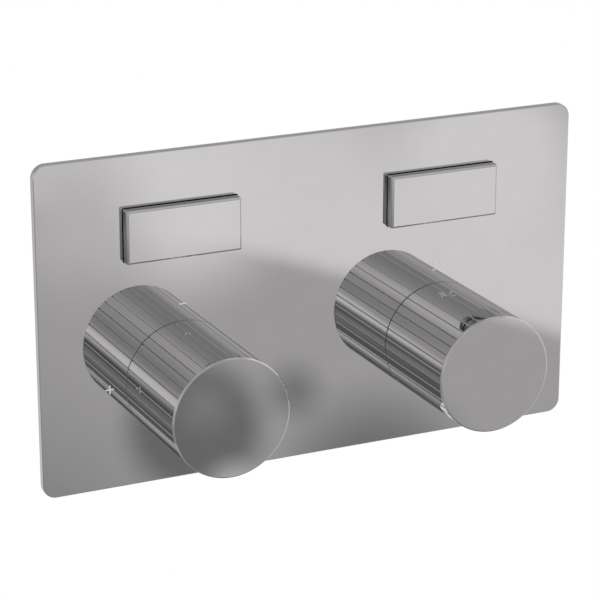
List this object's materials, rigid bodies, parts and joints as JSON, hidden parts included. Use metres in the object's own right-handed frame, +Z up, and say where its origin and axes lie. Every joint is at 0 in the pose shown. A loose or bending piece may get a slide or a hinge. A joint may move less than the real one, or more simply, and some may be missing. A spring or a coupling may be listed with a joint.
{
  "type": "thermostatic shower valve",
  "caption": "Concealed thermostatic shower valve: chrome cover plate with grooved flow and temperature knobs, push buttons for the outlets, and a brass body behind the wall.",
  "frame": {"origin": "centre of the cover plate in the plane of the finished wall", "axes": "+Z up, +Y into the wall, the plate's front faces -Y, +X to the right seen from the front"},
  "size_m": [0.25, 0.128, 0.145],
  "materials": {
    "polished_chrome": "mirror polish",
    "cast_brass": "cast, dull",
    "turned_brass": "turned, satin",
    "zinc_steel": "zinc plated sheet",
    "stainless_steel": "turned, satin",
    "nickel_brass": "nickel plated",
    "spring_wire": "drawn wire",
    "seal_rubber": "smooth, matt",
    "foam_gasket": "closed cell foam",
    "dark_plastic": "moulded, fine grain",
    "white_plastic": "moulded",
    "blue_plastic": "moulded",
    "amber_plastic": "moulded, glass filled",
    "copper": "drawn, bright",
    "disc_ceramic": "lapped"
  },
  "bodies": {
    "housing": {"cover_plate": "polished_chrome", "valve_body": "cast_brass", "flow_headwork": "turned_brass", "flow_plate_sleeve": "turned_brass", "thermostat_headpiece": "turned_brass", "temperature_plate_sleeve": "turned_brass", "left_push_valve": "turned_brass", "right_push_valve": "turned_brass", "mounting_bracket": "zinc_steel", "body_screws": "stainless_steel", "guide_screws": "stainless_steel", "inlet_filters": "stainless_steel", "flow_plate_nut": "nickel_brass", "temperature_plate_nut": "nickel_brass", "thermostat_return_spring": "spring_wire", "left_button_spring": "spring_wire", "right_button_spring": "spring_wire", "hot_check_spring": "spring_wire", "cold_check_spring": "spring_wire", "flow_disc_seal": "seal_rubber", "flow_headwork_oring": "seal_rubber", "thermostat_orings": "seal_rubber", "left_valve_orings": "seal_rubber", "right_valve_orings": "seal_rubber", "plate_gasket": "foam_gasket", "left_button_guide": "dark_plastic", "right_button_guide": "dark_plastic", "temperature_stop_ring": "white_plastic", "hot_check_valve": "white_plastic", "cold_check_valve": "white_plastic", "thermostat_housing": "amber_plastic", "flow_fixed_disc": "disc_ceramic"},
    "flow_control": {"flow_knob": "polished_chrome", "flow_knob_hub": "dark_plastic", "flow_grub_screw": "stainless_steel", "flow_hub_screw": "stainless_steel", "flow_spindle": "turned_brass", "flow_spindle_orings": "seal_rubber", "flow_moving_disc": "disc_ceramic"},
    "temperature_control": {"temperature_knob": "polished_chrome", "temperature_knob_hub": "dark_plastic", "temperature_grub_screw": "stainless_steel", "temperature_hub_screw": "stainless_steel", "temperature_spindle": "turned_brass", "temperature_spindle_orings": "seal_rubber"},
    "thermostat_slider": {"thermostat_overload_cup": "stainless_steel", "thermostat_overload_spring": "spring_wire", "thermostat_wax_element": "copper", "thermostat_shuttle": "stainless_steel"},
    "left_push": {"left_button": "polished_chrome", "left_button_carrier": "dark_plastic", "left_push_rod": "stainless_steel", "left_poppet_seal": "seal_rubber"},
    "right_push": {"right_button": "polished_chrome", "right_button_carrier": "dark_plastic", "right_push_rod": "stainless_steel", "right_poppet_seal": "seal_rubber"},
    "hot_check": {"hot_check_poppet": "blue_plastic"},
    "cold_check": {"cold_check_poppet": "blue_plastic"}
  },
  "joints": [
    {"name": "flow_knob_turn", "type": "hinge", "parent": "housing", "child": "flow_control", "pos_m": [-0.061, -0.03, -0.028], "axis": [0, 1, 0], "range_deg": [-90, 0]},
    {"name": "temperature_knob_turn", "type": "hinge", "parent": "housing", "child": "temperature_control", "pos_m": [0.061, -0.03, -0.028], "axis": [0, 1, 0], "range_deg": [-60, 150]},
    {"name": "thermostat_slide", "type": "slide", "parent": "housing", "child": "thermostat_slider", "axis": [0, 1, 0], "range_m": [-0.0008, 0.0004], "deforming": ["thermostat_return_spring"]},
    {"name": "left_button_press", "type": "slide", "parent": "housing", "child": "left_push", "axis": [0, 1, 0], "range_m": [0, 0.003], "stiffness_N_per_m": 1200, "springref_m": -0.003, "deforming": ["left_button_spring"]},
    {"name": "right_button_press", "type": "slide", "parent": "housing", "child": "right_push", "axis": [0, 1, 0], "range_m": [0, 0.003], "stiffness_N_per_m": 1200, "springref_m": -0.003, "deforming": ["right_button_spring"]},
    {"name": "hot_check_open", "type": "slide", "parent": "housing", "child": "hot_check", "axis": [1, 0, 0], "range_m": [0, 0.0025], "stiffness_N_per_m": 60, "springref_m": -0.001, "deforming": ["hot_check_spring"]},
    {"name": "cold_check_open", "type": "slide", "parent": "housing", "child": "cold_check", "axis": [-1, 0, 0], "range_m": [0, 0.0025], "stiffness_N_per_m": 60, "springref_m": -0.001, "deforming": ["cold_check_spring"]}
  ],
  "couplings": [
    {"joint": "thermostat_slide", "follows": "temperature_knob_turn", "m_per_rad": -0.0003}
  ]
}
